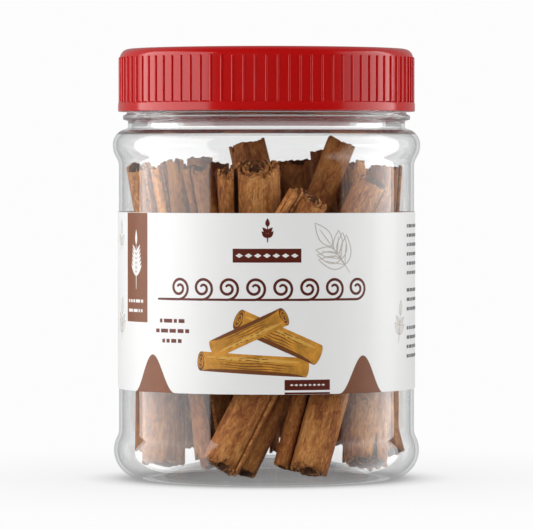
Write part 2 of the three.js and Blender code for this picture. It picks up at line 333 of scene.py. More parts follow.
def coated_paper():
    whites = [(0.3, (0.835, 0.835, 0.83)), (0.7, (0.85, 0.85, 0.845))]
    material, tree, shader, place = smooth_finish("coated_paper", (60.0, 3.0), whites,
                                                  PAPER_ROUGHNESS, PAPER_SPECULAR)
    fibre = noise_of(tree, place, (1, 1, 1), 1800.0, 3.0)
    bump(tree, shader, fibre, 0.06, 0.0001)
    return material


def printed_ink(ink):
    """Matt ink, a little uneven as print is."""
    spread = 0.25 if ink == "ochre" else 0.06
    thin, full = [tuple(part * (1 + sign * spread) for part in INKS[ink]) for sign in (1, -1)]
    material, *_ = smooth_finish("ink_" + ink, (350.0, 3.0), [(0.35, thin), (0.65, full)],
                                 PAPER_ROUGHNESS, PAPER_SPECULAR)
    return material


def cinnamon_bark():
    """Bark read in its own sheet: across and along in millimetres, and a tone for each quill, partly
    its own colour and partly painted light and shade.
    """
    material, tree, shader = new_material("cinnamon_bark", 0.72, 0.3)
    sheet = add_node(tree, "Attribute", attribute_name="sheet").outputs["Vector"]
    side = add_node(tree, "Attribute", attribute_name="side").outputs["Fac"]
    tone_and_shade = add_node(tree, "Attribute", attribute_name="tone_and_shade").outputs["Fac"]

    broad = noise_of(tree, sheet, (0.20, 0.05, 1), 1.0, 3.0, 0.55, 0.5)
    mottle = noise_of(tree, sheet, (0.70, 0.36, 1), 1.0, 6.0, 0.68, 1.0)
    grain = noise_of(tree, sheet, (2.2, 0.40, 1), 1.0, 5.0, 0.66, 0.6)
    flecks = noise_of(tree, sheet, (1.5, 0.85, 1), 1.0, 5.0, 0.70, 0.8)
    cracks = noise_of(tree, sheet, (1.7, 0.07, 1), 1.0, 3.0, 0.55, 0.25)

    cloud = math_node(tree, "ADD", math_node(tree, "MULTIPLY", broad, 0.5),
                      math_node(tree, "MULTIPLY", mottle, 0.5))
    body = ramp(tree, cloud, [(0.38, BARK_RED), (0.46, BARK_BROWN), (0.55, BARK_TAN),
                              (0.66, BARK_STRAW)])
    streaks = ramp(tree, grain, [(0.30, (0.58, 0.50, 0.44)), (0.5, 1), (0.72, (1.30, 1.30, 1.25))])
    body = mixed(tree, 1.0, body, streaks, "MULTIPLY")
    red = ramp(tree, flecks, [(0.34, 0.75), (0.43, 0)])
    body = mixed(tree, red, body, BARK_RED)
    pale = ramp(tree, flecks, [(0.62, 0), (0.74, 0.8)])
    body = mixed(tree, pale, body, BARK_STRAW)
    split = ramp(tree, cracks, [(0.28, 0.9), (0.335, 0)])
    body = mixed(tree, split, body, BARK_SPLIT)

    # the inner face is darker than the outside: partly its own colour, partly painted shade for the
    # hollow
    inside = ramp(tree, grain, [(0.35, BARK_INNER_AND_HOLLOW_SHADE), (0.68, BARK_INSIDE)])
    torn = ramp(tree, flecks, [(0.38, BARK_TORN), (0.62, BARK_FIBRE)])
    # side is 0 on a sheet's outer face and 1 on its inner one, so its torn edge lies between
    rim = ramp(tree, side, [(0.0, 0), (0.12, 1), (0.88, 1), (1.0, 0)])
    colour = mixed(tree, side, body, inside)
    colour = mixed(tree, rim, colour, torn)
    # a quill's tone darkens or lightens all its bark: partly its own colour, partly painted light and
    # shade
    shade = ramp(tree, tone_and_shade, [(0.0, DARK_QUILL), (0.5, MIDDLE_QUILL), (1.0, PALE_QUILL)])
    colour = mixed(tree, 1.0, colour, shade, "MULTIPLY")
    tree.links.new(colour, shader.inputs["Base Color"])

    fibres = noise_of(tree, sheet, (3.4, 0.5, 1), 1.0, 5.0, 0.7, 0.5)
    height = math_node(tree, "ADD", math_node(tree, "MULTIPLY", grain, 0.8), fibres)
    bump(tree, shader, height, 0.6, 0.0005)
    return material


def studio_floor():
    """White paper that shows only the soft shade of what stands on it."""
    material, tree, shader = new_material("studio_floor", 0.9, 0.0)
    wide = add_node(tree, "AmbientOcclusion", samples=16, Distance=FLOOR_SHADE_REACH)
    shade = ramp(tree, wide.outputs["AO"], [(0.0, 0.69), (0.5, 0.84), (1.0, BACKDROP)])
    close = add_node(tree, "AmbientOcclusion", samples=16, Distance=CONTACT_SHADE_REACH)
    contact = ramp(tree, close.outputs["AO"], [(0.0, 0.49), (0.9, 1)])
    shade = mixed(tree, 1.0, shade, contact, "MULTIPLY")
    lit = add_node(tree, "Emission")
    tree.links.new(shade, lit.inputs["Color"])
    bounced = either_ray(tree, "Is Diffuse Ray", "Is Glossy Ray")
    mirrored = add_node(tree, "LightPath").outputs["Is Glossy Ray"]
    paper = mixed(tree, mirrored, (FLOOR_BOUNCE,) * 3, (FLOOR_MIRRORED,) * 3)
    tree.links.new(paper, shader.inputs["Base Color"])
    mixed_surface(tree, bounced, lit.outputs["Emission"], shader.outputs["BSDF"])
    return material


# ---------------- mesh helpers

def draw(index, kind):
    """A repeatable number from 0 to 1 for each pair of whole numbers."""
    wave = math.sin(index * 12.9898 + kind * 78.233) * 43758.5453
    return wave - math.floor(wave)


def direction(degrees, length=1):
    angle = math.radians(degrees)
    return Vector((length * math.cos(angle), length * math.sin(angle)))


def arc(centre, radius, start, end, steps):
    """Points of an arc, angles in degrees."""
    points = []
    for i in range(steps + 1):
        angle = math.radians(start + (end - start) * i / steps)
        points.append((centre[0] + radius * math.cos(angle), centre[1] + radius * math.sin(angle)))
    return points


def rounded(points):
    """A profile with its corners rounded off; its first and last points only lead in and out."""
    result = [points[0]]
    for before, corner, after in zip(points, points[1:], points[2:]):
        here = Vector(corner)
        back = Vector(before) - here
        on = Vector(after) - here
        reach = min(EDGE_FILLET, back.length * 0.45, on.length * 0.45)
        start = here + back.normalized() * reach
        end = here + on.normalized() * reach
        for i in range(EDGE_STEPS + 1):
            t = i / EDGE_STEPS
            point = start * (1 - t) ** 2 + here * 2 * t * (1 - t) + end * t ** 2
            result.append((point.x, point.y))
    result.append(points[-1])
    return result


def whole(mesh):
    return mesh.verts[:] + mesh.edges[:] + mesh.faces[:]


def turned(profile, sides):
    """Spins a profile of (radius, height) points in millimetres round the Z axis."""
    mesh = bmesh.new()
    corners = [mesh.verts.new((r * MM, 0, z * MM)) for r, z in profile]
    edges = [mesh.edges.new(pair) for pair in zip(corners, corners[1:])]
    bmesh.ops.spin(mesh, geom=corners + edges, axis=UP, cent=(0, 0, 0), steps=sides,
                   angle=2 * math.pi, use_merge=True)
    bmesh.ops.remove_doubles(mesh, verts=mesh.verts[:], dist=1e-6)
    bmesh.ops.recalc_face_normals(mesh, faces=mesh.faces[:])
    return mesh


def put_in_scene(name, data):
    item = bpy.data.objects.new(name, data)
    bpy.context.collection.objects.link(item)
    return item


def mesh_object(name, mesh, material):
    data = bpy.data.meshes.new(name)
    mesh.to_mesh(data)
    mesh.free()
    data.materials.append(material)
    return put_in_scene(name, data)


def add_piece(name, mesh, material, node):
    """Puts a finished mesh in the scene in place of a frame node."""
    for face in mesh.faces:
        face.smooth = True
    piece = mesh_object(name, mesh, material)
    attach(piece, "root")
    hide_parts(node)
    return piece


# ---------------- jar

def bulge_and_fillet(centre, radius, wall, fillet, inset, start, upwards, steps):
    """An arc of a bulge from `start` degrees to where a hollow fillet leads into the wall."""
    sign = 1 if upwards else -1
    reach = radius + fillet
    across = wall + fillet - centre[0]
    rise = math.sqrt(reach ** 2 - across ** 2)
    meet = math.degrees(math.asin(rise / reach))
    bulge = arc(centre, radius - inset, start, sign * meet, steps)
    hollow_centre = (wall + fillet, centre[1] + sign * rise)
    hollow = arc(hollow_centre, fillet + inset, 180 + sign * meet, 180, 6)
    return bulge + hollow[1:]


def body_profile(inset):
    """From the foot ring up to the neck, `inset` inside the outer surface."""
    base = bulge_and_fillet(BASE_CENTRE, BASE_RADIUS, PANEL_RADIUS, PANEL_FILLET, inset, -90, True, 20)
    lower = bulge_and_fillet(SHOULDER_LOWER, SHOULDER_LOWER_RADIUS, PANEL_RADIUS, PANEL_FILLET, inset,
                             0, False, 9)
    upper = bulge_and_fillet(SHOULDER_UPPER, SHOULDER_UPPER_RADIUS, NECK_RADIUS, NECK_FILLET, inset,
                             0, True, 14)
    return base + lower[::-1] + upper[1:]


def jar_profile():
    outside = [(FOOT_INNER_RADIUS + FOOT_RING_WIDTH, 0)] + body_profile(0)
    ring = rounded([
        (NECK_RADIUS, RING_LOW - RING_LEAD),
        (NECK_RADIUS, RING_LOW),
        (RING_RADIUS, RING_LOW + RING_LOWER_SLOPE),
        (RING_RADIUS, RING_HIGH - RING_UPPER_SLOPE),
        (FINISH_RADIUS, RING_HIGH),
        (FINISH_RADIUS, MOUTH_Z),
        (MOUTH_RADIUS, MOUTH_Z),
        (MOUTH_RADIUS, RING_LOW),
    ])
    inside = body_profile(WALL)[::-1]
    dome = [FOOT_INNER_RADIUS * i / 20 for i in range(21)]
    under = [(r, PUSH_UP_HEIGHT * (1 - (r / FOOT_INNER_RADIUS) ** 2)) for r in dome]
    under.append((FOOT_INNER_RADIUS + FOOT_RING_WIDTH, 0))
    floor = [(r, z + WALL) for r, z in under]
    return under[:-1] + outside + ring + inside + floor[::-1]


def make_jar():
    shell = turned(jar_profile(), ROUND_SIDES)
    piece = add_piece("jar_shell", shell, clear_plastic(), "jar")
    piece.data.materials.append(thick_clear_plastic())
    for face in piece.data.polygons:
        z = face.center.z / MM
        if FOLD_LOW < z < FOLD_HIGH or z > THICK_NECK_LOW:
            face.material_index = 1


# ---------------- lid

def make_lid():
    inner = LID_RADIUS - LID_WALL
    corner = (LID_RADIUS - LID_CORNER, LID_HIGH - LID_CORNER)
    shell = turned([
        (0, LID_HIGH - LID_TOP),
        (inner, LID_HIGH - LID_TOP),
        *rounded([
            (inner, LID_LOW + LID_INNER_LEAD),
            (inner, LID_LOW),
            (LID_BAND_RADIUS, LID_LOW),
            (LID_BAND_RADIUS, LID_LOW + LID_BAND_HEIGHT),
            (LID_RADIUS, LID_LOW + LID_BAND_HEIGHT + LID_BAND_SLOPE),
            (LID_RADIUS, LID_LOW + LID_OUTER_LEAD),
        ]),
        *arc(corner, LID_CORNER, 0, 82, 10),
        (LID_FLAT_RADIUS, LID_HIGH),
        (0, LID_HIGH),
    ], RIB_COUNT * 2)
    red = red_plastic()
    add_piece("lid_shell", shell, red, "lid")
    add_piece("lid_ribs", rib_grip(), red, "lid")


def rib_grip():
    """One upright half-round rib with a domed top, repeated round the lid.

    Narrow bands at both ends of its wall keep the long faces between them evenly shaded.
    """
    ribs = bmesh.new()
    half = RIB_WIDTH / 2
    foot_level = LID_LOW + LID_BAND_HEIGHT - RIB_ROOT
    wall = RIB_TOP - half - foot_level
    bmesh.ops.create_uvsphere(ribs, u_segments=16, v_segments=10, radius=1.0)
    bmesh.ops.bisect_plane(ribs, geom=whole(ribs), plane_co=(0, 0, 0), plane_no=UP, clear_inner=True)
    bmesh.ops.scale(ribs, verts=ribs.verts[:], vec=(half * MM, RIB_DEPTH * MM, half * MM))
    bmesh.ops.translate(ribs, verts=ribs.verts[:], vec=(0, -LID_RADIUS * MM, (RIB_TOP - half) * MM))
    for drop in (RIB_EDGE_BAND, wall - 2 * RIB_EDGE_BAND, RIB_EDGE_BAND):
        rim = [edge for edge in ribs.edges if edge.is_boundary]
        walls = bmesh.ops.extrude_edge_only(ribs, edges=rim)["geom"]
        foot = [item for item in walls if isinstance(item, bmesh.types.BMVert)]
        bmesh.ops.translate(ribs, verts=foot, vec=(0, 0, -drop * MM))
    bmesh.ops.holes_fill(ribs, edges=[edge for edge in ribs.edges if edge.is_boundary])
    bmesh.ops.recalc_face_normals(ribs, faces=ribs.faces[:])
    bmesh.ops.spin(ribs, geom=whole(ribs), axis=UP, cent=(0, 0, 0), steps=RIB_COUNT - 1,
                   angle=2 * math.pi * (RIB_COUNT - 1) / RIB_COUNT, use_duplicate=True)
    return ribs


# ---------------- label

def make_label():
    sleeve = turned([
        (LABEL_INNER, LABEL_LOW),
        (LABEL_OUTER, LABEL_LOW),
        (LABEL_OUTER, LABEL_HIGH),
        (LABEL_INNER, LABEL_HIGH),
        (LABEL_INNER, LABEL_LOW),
    ], ROUND_SIDES)
    piece = add_piece("label_sleeve", sleeve, coated_paper(), "label")
    piece.data.set_sharp_from_angle(angle=SHARP_ANGLE)


# ---------------- label print

# The print is drawn flat, with x along the label from the middle of its front and y up from
# the jar's foot, both in millimetres. Ink on a higher level covers ink on a lower one.

def fill(mesh, outline, level=0):
    mesh.faces.new([mesh.verts.new((x, y, level)) for x, y in outline])


def oblong(mesh, left, right, low, high, level=0):
    fill(mesh, [(left, low), (right, low), (right, high), (left, high)], level)


def stroke(mesh, path, width, level=0, ends=0.5):
    """A pen line along a path, `ends` of its full width where it starts and stops."""
    shift = mesh.verts.layers.float_vector["shift"]
    points = [Vector(point) for point in path]
    corners = []
    for i, point in enumerate(points):
        along = (points[min(i + 1, len(points) - 1)] - points[max(i - 1, 0)]).normalized()
        press = ends + (1 - ends) * math.sin(math.pi * i / (len(points) - 1)) ** 0.5
        side = Vector((-along.y, along.x)) * width * press
        corner = mesh.verts.new((*(point - side / 2), level))
        corner[shift] = (*side, 0)
        corners.append(corner)
    edges = [mesh.edges.new(pair) for pair in zip(corners, corners[1:])]
    for item in bmesh.ops.extrude_edge_only(mesh, edges=edges)["geom"]:
        if isinstance(item, bmesh.types.BMVert):
            item.co += item[shift]


def leaf_outline(base, angle, length, width):
    """A pointed leaf that starts at its base."""
    along = direction(angle)
    side = Vector((-along.y, along.x))
    edges = []
    for sign in (1, -1):
        edge = []
        for i in range(11):
            t = i / 10
            bulge = side * sign * width / 2 * math.sin(math.pi * t ** 0.8)
            edge.append(Vector(base) + along * length * t + bulge)
        edges.append(edge)
    return edges[0] + edges[1][-2:0:-1]


def spray(mesh, foot, tip, leaf_length, leaf_width, pairs, width, outlined=False):
    """A stem with pairs of leaves, filled or in outline."""
    foot, tip = Vector(foot), Vector(tip)
    stroke(mesh, [foot.lerp(tip, i / 8) for i in range(9)], width)
    heading = math.degrees(math.atan2(tip.y - foot.y, tip.x - foot.x))
    leaves = [(tip, heading, leaf_length)]
    for pair in range(pairs):
        at = foot.lerp(tip, 0.3 + 0.62 * pair / pairs)
        size = leaf_length * (1 - 0.3 * pair / pairs)
        leaves += [(at, heading + 42, size), (at, heading - 42, size)]
    for base, angle, size in leaves:
        outline = leaf_outline(base, angle, size, leaf_width * size / leaf_length)
        if outlined:
            stroke(mesh, outline + outline[:1], width, ends=1)
            stroke(mesh, [outline[0].lerp(outline[10], t / 8) for t in range(7)], width, ends=0.3)
        else:
            fill(mesh, outline)


def scroll_border(mesh, left, right, middle, size, count, width):
    """A running scroll: each wave rolls up into a spiral over the next one's tail."""
    step = (right - left) / count
    for wave in range(count):
        centre = Vector((left + step * (wave + 0.6), middle))
        tail = [centre + Vector((-step * 1.05 + step * 0.95 * t / 6, -size)) for t in range(6)]
        roll = []
        for i in range(45):
            reach = size * (1 - 0.8 * i / 44)
            roll.append(centre + reach * direction(-90 + 600 * i / 44))
        stroke(mesh, tail + roll, width, ends=0.7)


def dashes(mesh, left, right, middle, height, seed, level=0):
    """A plain row of dashes of uneven length."""
    place = left
    index = 0
    while place < right - height:
        length = min(height * (0.9 + 2.2 * draw(index, seed)), right - place)
        oblong(mesh, place, place + length, middle - height / 2, middle + height / 2, level)
        place += length + height * 0.55
        index += 1


def lozenges(mesh, left, right, middle, size, count, level):
    """A row of lozenges that are wider than they are high."""
    for i in range(count):
        x = left + (right - left) * (i + 0.5) / count
        low, high = middle - size * 0.6, middle + size * 0.6
        fill(mesh, [(x - size, middle), (x, low), (x + size, middle), (x, high)], level)


def hill(mesh, middle, width, height):
    """A rounded hill that stands on the label's lower edge."""
    rim = []
    for i in range(25):
        across = 1 - i / 12
        rise = height * (0.5 + 0.5 * math.cos(math.pi * across))
        rim.append((middle + width / 2 * across, LABEL_LOW + rise))
    fill(mesh, rim)


def drawn_quill(inks, start, end, width, level):
    """A quill in three inks: body, shaded underside with streaks, and a dark rolled end."""
    start, end = Vector(start), Vector(end)
    along = (end - start).normalized()
    side = Vector((-along.y, along.x))
    length = (end - start).length

    def at(gone, across):
        return start + along * gone + side * across * width / 2

    bulge = [at(length + width * 0.16 * math.cos(math.radians(a)), math.sin(math.radians(a)))
             for a in range(-90, 91, 15)]
    fill(inks["ochre"], [at(0, 1 - 0.25 * i) for i in range(9)] + bulge, level)
    shine = [at(length * (0.06 + 0.88 * i / 12), 0.5 + 0.03 * math.sin(i * 1.7)) for i in range(13)]
    stroke(inks["honey"], shine, width * 0.2, level + 1, ends=0.2)
    under = [at(length * i / 12, -1 + 0.42 * math.sin(math.pi * i / 12) ** 0.4) for i in range(13)]
    fill(inks["umber"], [at(0, -1), at(length, -1)] + under[-2:0:-1], level + 1)
    for streak in range(5):
        across = -0.45 + 0.27 * streak
        first = length * (0.12 + 0.3 * draw(streak, level + 20))
        last = length * (0.62 + 0.3 * draw(streak, level + 40))
        path = [at(first + (last - first) * i / 8, across + 0.05 * math.sin(i * 1.3 + streak))
                for i in range(9)]
        stroke(inks["umber"], path, width * 0.045, level + 1, ends=0.1)
    deep = width * 0.2
    mouth = [at(deep * math.cos(math.radians(a)), math.sin(math.radians(a)))
             for a in range(0, 360, 15)]
    fill(inks["umber"], mouth, level + 2)
    roll = []
    for i in range(40):
        angle = math.radians(760 * i / 39)
        reach = 0.92 * (1 - 0.85 * i / 39)
        roll.append(at(deep * reach * math.cos(angle), reach * math.sin(angle)))
    stroke(inks["ochre"], roll, width * 0.05, level + 3, ends=0.8)


# foot, tip, leaf length, leaf width, pairs of leaves
OUTLINED_SPRAYS = [
    ((25.5, 61.8), (19.5, 69.4), 8.6, 3.8, 3),
    ((-57.5, 41.5), (-57.0, 49.0), 5.0, 2.0, 2),
    ((-57.5, 68.0), (-57.5, 72.5), 4.0, 1.8, 1),
    ((47.0, 41.0), (48.0, 49.0), 4.4, 1.6, 2),
    ((126, 44), (126, 60), 9.0, 3.4, 4),
    ((-86, 50), (-86, 62), 8.0, 3.0, 3),
]


def draw_front(inks):
    dark, brown, pale = inks["dark"], inks["brown"], inks["pale"]
    spray(dark, (0.3, 70.6), (0.3, 75.0), 2.6, 1.3, 2, 0.4)
    oblong(dark, -9.8, 10.1, 64.8, 68.8)
    lozenges(pale, -9.2, 9.5, 66.8, 1.1, 7, level=1)
    scroll_border(dark, -31.5, 31.0, 57.4, 3.3, 8, 0.8)
    for row, half in enumerate((4.6, 6.2, 3.6)):
        dashes(dark, -29.6 - half, -29.6 + half, 47.8 - 2.9 * row, 1.1, row)
    oblong(brown, -51.7, -39.8, 47.1, LABEL_HIGH - 0.1)
    spray(pale, (-45.8, 56.6), (-45.8, 69.5), 4.6, 1.2, 6, 0.35)
    for row in range(2):
        dashes(pale, -50.6, -41.0, 53.2 - 2.8 * row, 0.9, row + 5, level=1)
    oblong(dark, 5.2, 18.8, 28.1, 31.1)
    lozenges(pale, 6.6, 17.4, 29.6, 0.55, 8, level=1)
    oblong(dark, 5.2, 18.8, LABEL_LOW + 0.05, 27.5)
    hill(brown, -37.3, 17.6, 11.0)
    hill(brown, 30.2, 16.6, 10.9)
    drawn_quill(inks, (-19.5, 36.4), (11.5, 34.6), 5.6, 0)
    drawn_quill(inks, (-8.0, 48.4), (15.0, 38.2), 6.2, 5)
    drawn_quill(inks, (5.0, 49.3), (-15.5, 39.8), 5.4, 10)


def draw_sides(inks):
    for block, (top, rows) in enumerate(((75.0, 6), (56.2, 3), (45.1, 4))):
        for row in range(rows):
            right = 84 - 9 * draw(row, block)
            dashes(inks["grey"], 53.0, right, top - 2.75 * row, 1.0, 10 * block + row)
    for middle in (-104.0, 97.0):
        hill(inks["brown"], middle, 17.0, 11.0)


def wrap_round(mesh):
    """Gives flat ink its thickness and bends it round the label."""
    bmesh.ops.triangulate(mesh, faces=[face for face in mesh.faces if len(face.verts) > 4])
    bends = int(math.pi * LABEL_OUTER / LABEL_BEND_STEP)
    for line in range(-bends, bends + 1):
        bmesh.ops.bisect_plane(mesh, geom=whole(mesh), plane_co=(line * LABEL_BEND_STEP, 0, 0),
                               plane_no=(1, 0, 0))
    skin = bmesh.ops.extrude_face_region(mesh, geom=mesh.faces[:], use_keep_orig=True)["geom"]
    top = {item for item in skin if isinstance(item, bmesh.types.BMVert)}
    for vert in mesh.verts:
        height = INK_THICKNESS + INK_LEVEL * vert.co.z if vert in top else -INK_THICKNESS
        angle = vert.co.x / LABEL_OUTER
        radius = (LABEL_OUTER + height) * MM
        vert.co = (radius * math.sin(angle), -radius * math.cos(angle), vert.co.y * MM)
    bmesh.ops.recalc_face_normals(mesh, faces=mesh.faces[:])


def make_print():
    inks = {}
    for ink in INKS:
        inks[ink] = bmesh.new()
        inks[ink].verts.layers.float_vector.new("shift")
    draw_front(inks)
    draw_sides(inks)
    for place in OUTLINED_SPRAYS:
        spray(inks["taupe"], *place, 0.28, outlined=True)
    for ink, mesh in inks.items():
        wrap_round(mesh)
        mesh.verts.layers.float_vector.remove(mesh.verts.layers.float_vector["shift"])
        piece = add_piece("print_" + ink, mesh, printed_ink(ink), "label")
        piece.data.set_sharp_from_angle(angle=SHARP_ANGLE)


# ---------------- quills

def bark_quill(width, top, foot, turn, nod, tone_and_shade, form="scroll", **shape):
    """A quill from its top to its foot, each a point (x, y, z) on its axis.

    A scroll is one roll, a double is rolled in from both edges, and open bark is only half curled.
    turn    the angle that the roll is turned by, anticlockwise from above
    nod     how far the top end slopes down (or, below zero, the foot end up) towards the front,
            or a pair of both, for the top and then the foot
    tone_and_shade  from dark (0) to pale (1): the quill's own tone, with painted light and shade for
    where it stands in the jar
    curl    how often a scroll goes round, or how often a double quill's edges curl in
    split   the share of a double quill's width that its left roll takes
    gap     the width of its seam
    back    where its smaller roll lies, from level with the front (-1) to level with the back (1)
    fray    how rough its ends are torn
    squeeze its depth as a share of its width
    slit    a cut into its foot: the place round the sheet, the depth and half the width
    step    the width of its faces
    """
    nods = nod if isinstance(nod, tuple) else (max(nod, 0), max(-nod, 0))
    return dict(form=form, width=width, top=top, foot=foot, turn=turn, nods=nods, tone_and_shade=tone_and_shade, **shape)


FRONT_QUILLS = [
    # ends that show above the label
    bark_quill(8.4, (-38.1, -3, 92.2), (-25.4, -4, 17), turn=30, nod=1.6, tone_and_shade=0.82),
    bark_quill(4.5, (-32.2, -21, 92.4), (-25.8, -27, 57), turn=120, nod=0.5, tone_and_shade=1.0),
    bark_quill(5.4, (-29.6, -17.5, 93.4), (-24.6, -20, 57), turn=-60, nod=0.8, tone_and_shade=0.4),
    bark_quill(5.6, (-26.7, -22, 94.3), (-18.5, -22, 7.2), turn=-60, nod=0.4, tone_and_shade=0.42),
    bark_quill(8.8, (-20.3, -31, 91.6), (-14.2, -31.5, 60), turn=-10, nod=1.8, tone_and_shade=0.22,
               form="double", split=0.3),
    bark_quill(18.4, (-5.3, -33, 91.8), (-3.4, -17, 33), turn=0, nod=1.1, tone_and_shade=0.55,
               form="double", split=0.3, gap=1.2, curl=3.8, back=-0.7, fray=2.2),
    bark_quill(12.1, (-5.5, -12, 99.2), (8, -5, 40), turn=180, nod=(-1.0, 0), tone_and_shade=0.27),
    bark_quill(10.8, (9.1, -9, 93.6), (12, 4, 14), turn=120, nod=-0.1, tone_and_shade=0.15),
    bark_quill(7.5, (16.4, 1, 97.0), (23, 2, 30), turn=200, nod=-0.1, tone_and_shade=0.15),
    bark_quill(9.6, (22.3, -16, 99.3), (6.5, -21, 60), turn=160, nod=-0.2, tone_and_shade=0.32),
    bark_quill(10.8, (12.8, -34.4, 82.9), (-11.6, -34.6, 44), turn=-15, nod=1.6, tone_and_shade=0.6,
               form="double", split=0.22, gap=0.9, curl=3),
    bark_quill(2.5, (8.0, -36.6, 86.2), (-13.5, -37.6, 50), turn=75, nod=0.3, tone_and_shade=0.66, form="open"),
    bark_quill(2.8, (9.4, -38.2, 85.2), (-12, -39, 50), turn=60, nod=0.3, tone_and_shade=0.6, form="open"),
    bark_quill(6.6, (26.3, -9, 93.6), (30.4, -14, 62), turn=200, nod=0.5, tone_and_shade=0.66),
    bark_quill(9.9, (35.2, -2, 92.2), (32.4, -1, 54), turn=100, nod=-0.1, tone_and_shade=0.55),
    bark_quill(11.2, (31.2, -19.4, 87.9), (15.7, -27.5, 57), turn=60, nod=2.3, tone_and_shade=0.64),
    bark_quill(5.2, (35, -14.4, 84.2), (26.5, -22, 66), turn=180, nod=0.4, tone_and_shade=0.5, form="open"),
    # ends that show below the label
    bark_quill(14.4, (-30.6, -17.4, 49), (-30.4, -17, 5.3), turn=-40, nod=-1, tone_and_shade=0.42),
    bark_quill(6.6, (-23, -28.8, 48), (-15.8, -31.6, 6), turn=0, nod=-1, tone_and_shade=0.5,
               form="double", split=0.7),
    bark_quill(7, (-12, -20, 50), (-14.4, -21, 10), turn=200, nod=-0.1, tone_and_shade=0.2),
    bark_quill(12.2, (8.5, -31, 50), (-13.5, -33.2, 6), turn=60, nod=-1.5, tone_and_shade=0.61, curl=2.4),
    bark_quill(8.8, (13.5, -16, 45), (-6.9, -28.4, 3.6), turn=-90, nod=-0.6, tone_and_shade=0.38),
    bark_quill(4, (3, -6, 45), (1.9, -12, 8.6), turn=0, nod=-0.1, tone_and_shade=0.3),
    bark_quill(15.7, (22.5, -25, 50), (10, -32.8, 5), turn=4, nod=-1.1, tone_and_shade=0.54,
               form="double", split=0.3, curl=2.4),
    bark_quill(13.6, (31.5, -10, 58), (28.9, -20.4, 5.6), turn=-80, nod=-1.5, tone_and_shade=0.58,
               squeeze=0.7, curl=1.1, slit=(12.3, 9.0, 1.2)),
    bark_quill(9.2, (25.7, 2, 52), (37.4, -2, 7.6), turn=150, nod=-0.6, tone_and_shade=0.6),
]
# the rings further in get darker tones, as painted shade for the crowded middle of the jar; each
# quill's spread of tone differs at random
BACK_RING = dict(count=8, start=106, end=254, radius=35.4, top=91.5, foot=6.5, tone_and_shade=0.4)
MIDDLE_RING = dict(count=4, start=112, end=248, radius=21, top=92.5, foot=9, tone_and_shade=0.2)
CENTRE_QUILL = dict(count=1, start=200, end=200, radius=7, top=91, foot=9, tone_and_shade=0.1)
STANDING = dict(width=11, wider=2.5, lean=5, top_spread=5, foot_spread=3, tone_spread=0.2)


def standing(ring, index):
    """A quill that stands at an angle round the jar's axis, leaning a little along the wall."""
    share = index / (ring["count"] - 1) if ring["count"] > 1 else 0
    angle = math.radians(ring["start"] + (ring["end"] - ring["start"]) * share - 90)
    lean = math.radians(STANDING["lean"] * math.sin(index * 0.8))
    width = STANDING["width"] + STANDING["wider"] * draw(index, ring["count"])
    radius = ring["radius"] - (width - STANDING["width"]) / 2

    def point(at, z):
        return radius * math.cos(at), radius * math.sin(at), z

    return bark_quill(
        width,
        point(angle + lean, ring["top"] + STANDING["top_spread"] * (draw(index, 3) - 0.5)),
        point(angle - lean, ring["foot"] + STANDING["foot_spread"] * draw(index, 4)),
        turn=360 * draw(index, 5),
        nod=0,
        tone_and_shade=ring["tone_and_shade"] + STANDING["tone_spread"] * draw(index, 6),
        form=("double", "scroll", "open")[index % 3],
        step=HIDDEN_COLUMN_STEP,
    )


def scroll_path(quill, turns):
    """The outer face of a sheet rolled round more than once, from its seam inwards."""
    path = []
    for i in range(ROLL_STEPS + 1):
        turn = turns * i / ROLL_STEPS
        radius = quill["width"] / 2 - ROLL_PITCH * turn
        path.append(direction(360 * turn - 90, radius))
    return path


def two_rolls(quill):
    """The side, centre, radius and inward turns of each roll of a double quill."""
    width = quill["width"]
    split = quill.get("split", 0.5)
    largest = width * max(split, 1 - split) * ROLL_WIDENING
    rolls = []
    for side, share in ((-1, split), (1, 1 - split)):
        radius = width * share * ROLL_WIDENING
        centre = Vector((side * (width / 2 - radius), (largest - radius) * quill.get("back", 1)))
        turns = min(quill.get("curl", 1.2), (radius - BARK - DOUBLE_CORE) / ROLL_PITCH)
        rolls.append((side, centre, radius, turns))
    return rolls


def double_path(quill):
    """A sheet rolled in from both edges, so that two rolls meet at a seam in front."""
    middle = quill["width"] * (quill.get("split", 0.5) - 0.5)
    rolls = []
    for side, centre, radius, turns in two_rolls(quill):
        seam = middle + side * quill.get("gap", 0.3) / 2
        roll = []
        for i in range(ROLL_STEPS + 1):
            past = (ROUND_THE_OUTSIDE + 360 * turns) * i / ROLL_STEPS
            reach = radius - ROLL_PITCH * max(0.0, past - ROUND_THE_OUTSIDE) / 360
            point = centre + reach * direction(90 - side * past)
            point.x = side * max(side * (point.x - seam), 0.0) + seam
            roll.append(point)
        rolls.append(roll)
    left, right = rolls
    return right[::-1] + left[1:]


def open_path(quill):
    """Bark that has curled only part of the way round, open in front."""
    return [Vector(point) for point in arc((0, 0), quill["width"] / 2, *OPEN_DEGREES, 90)]


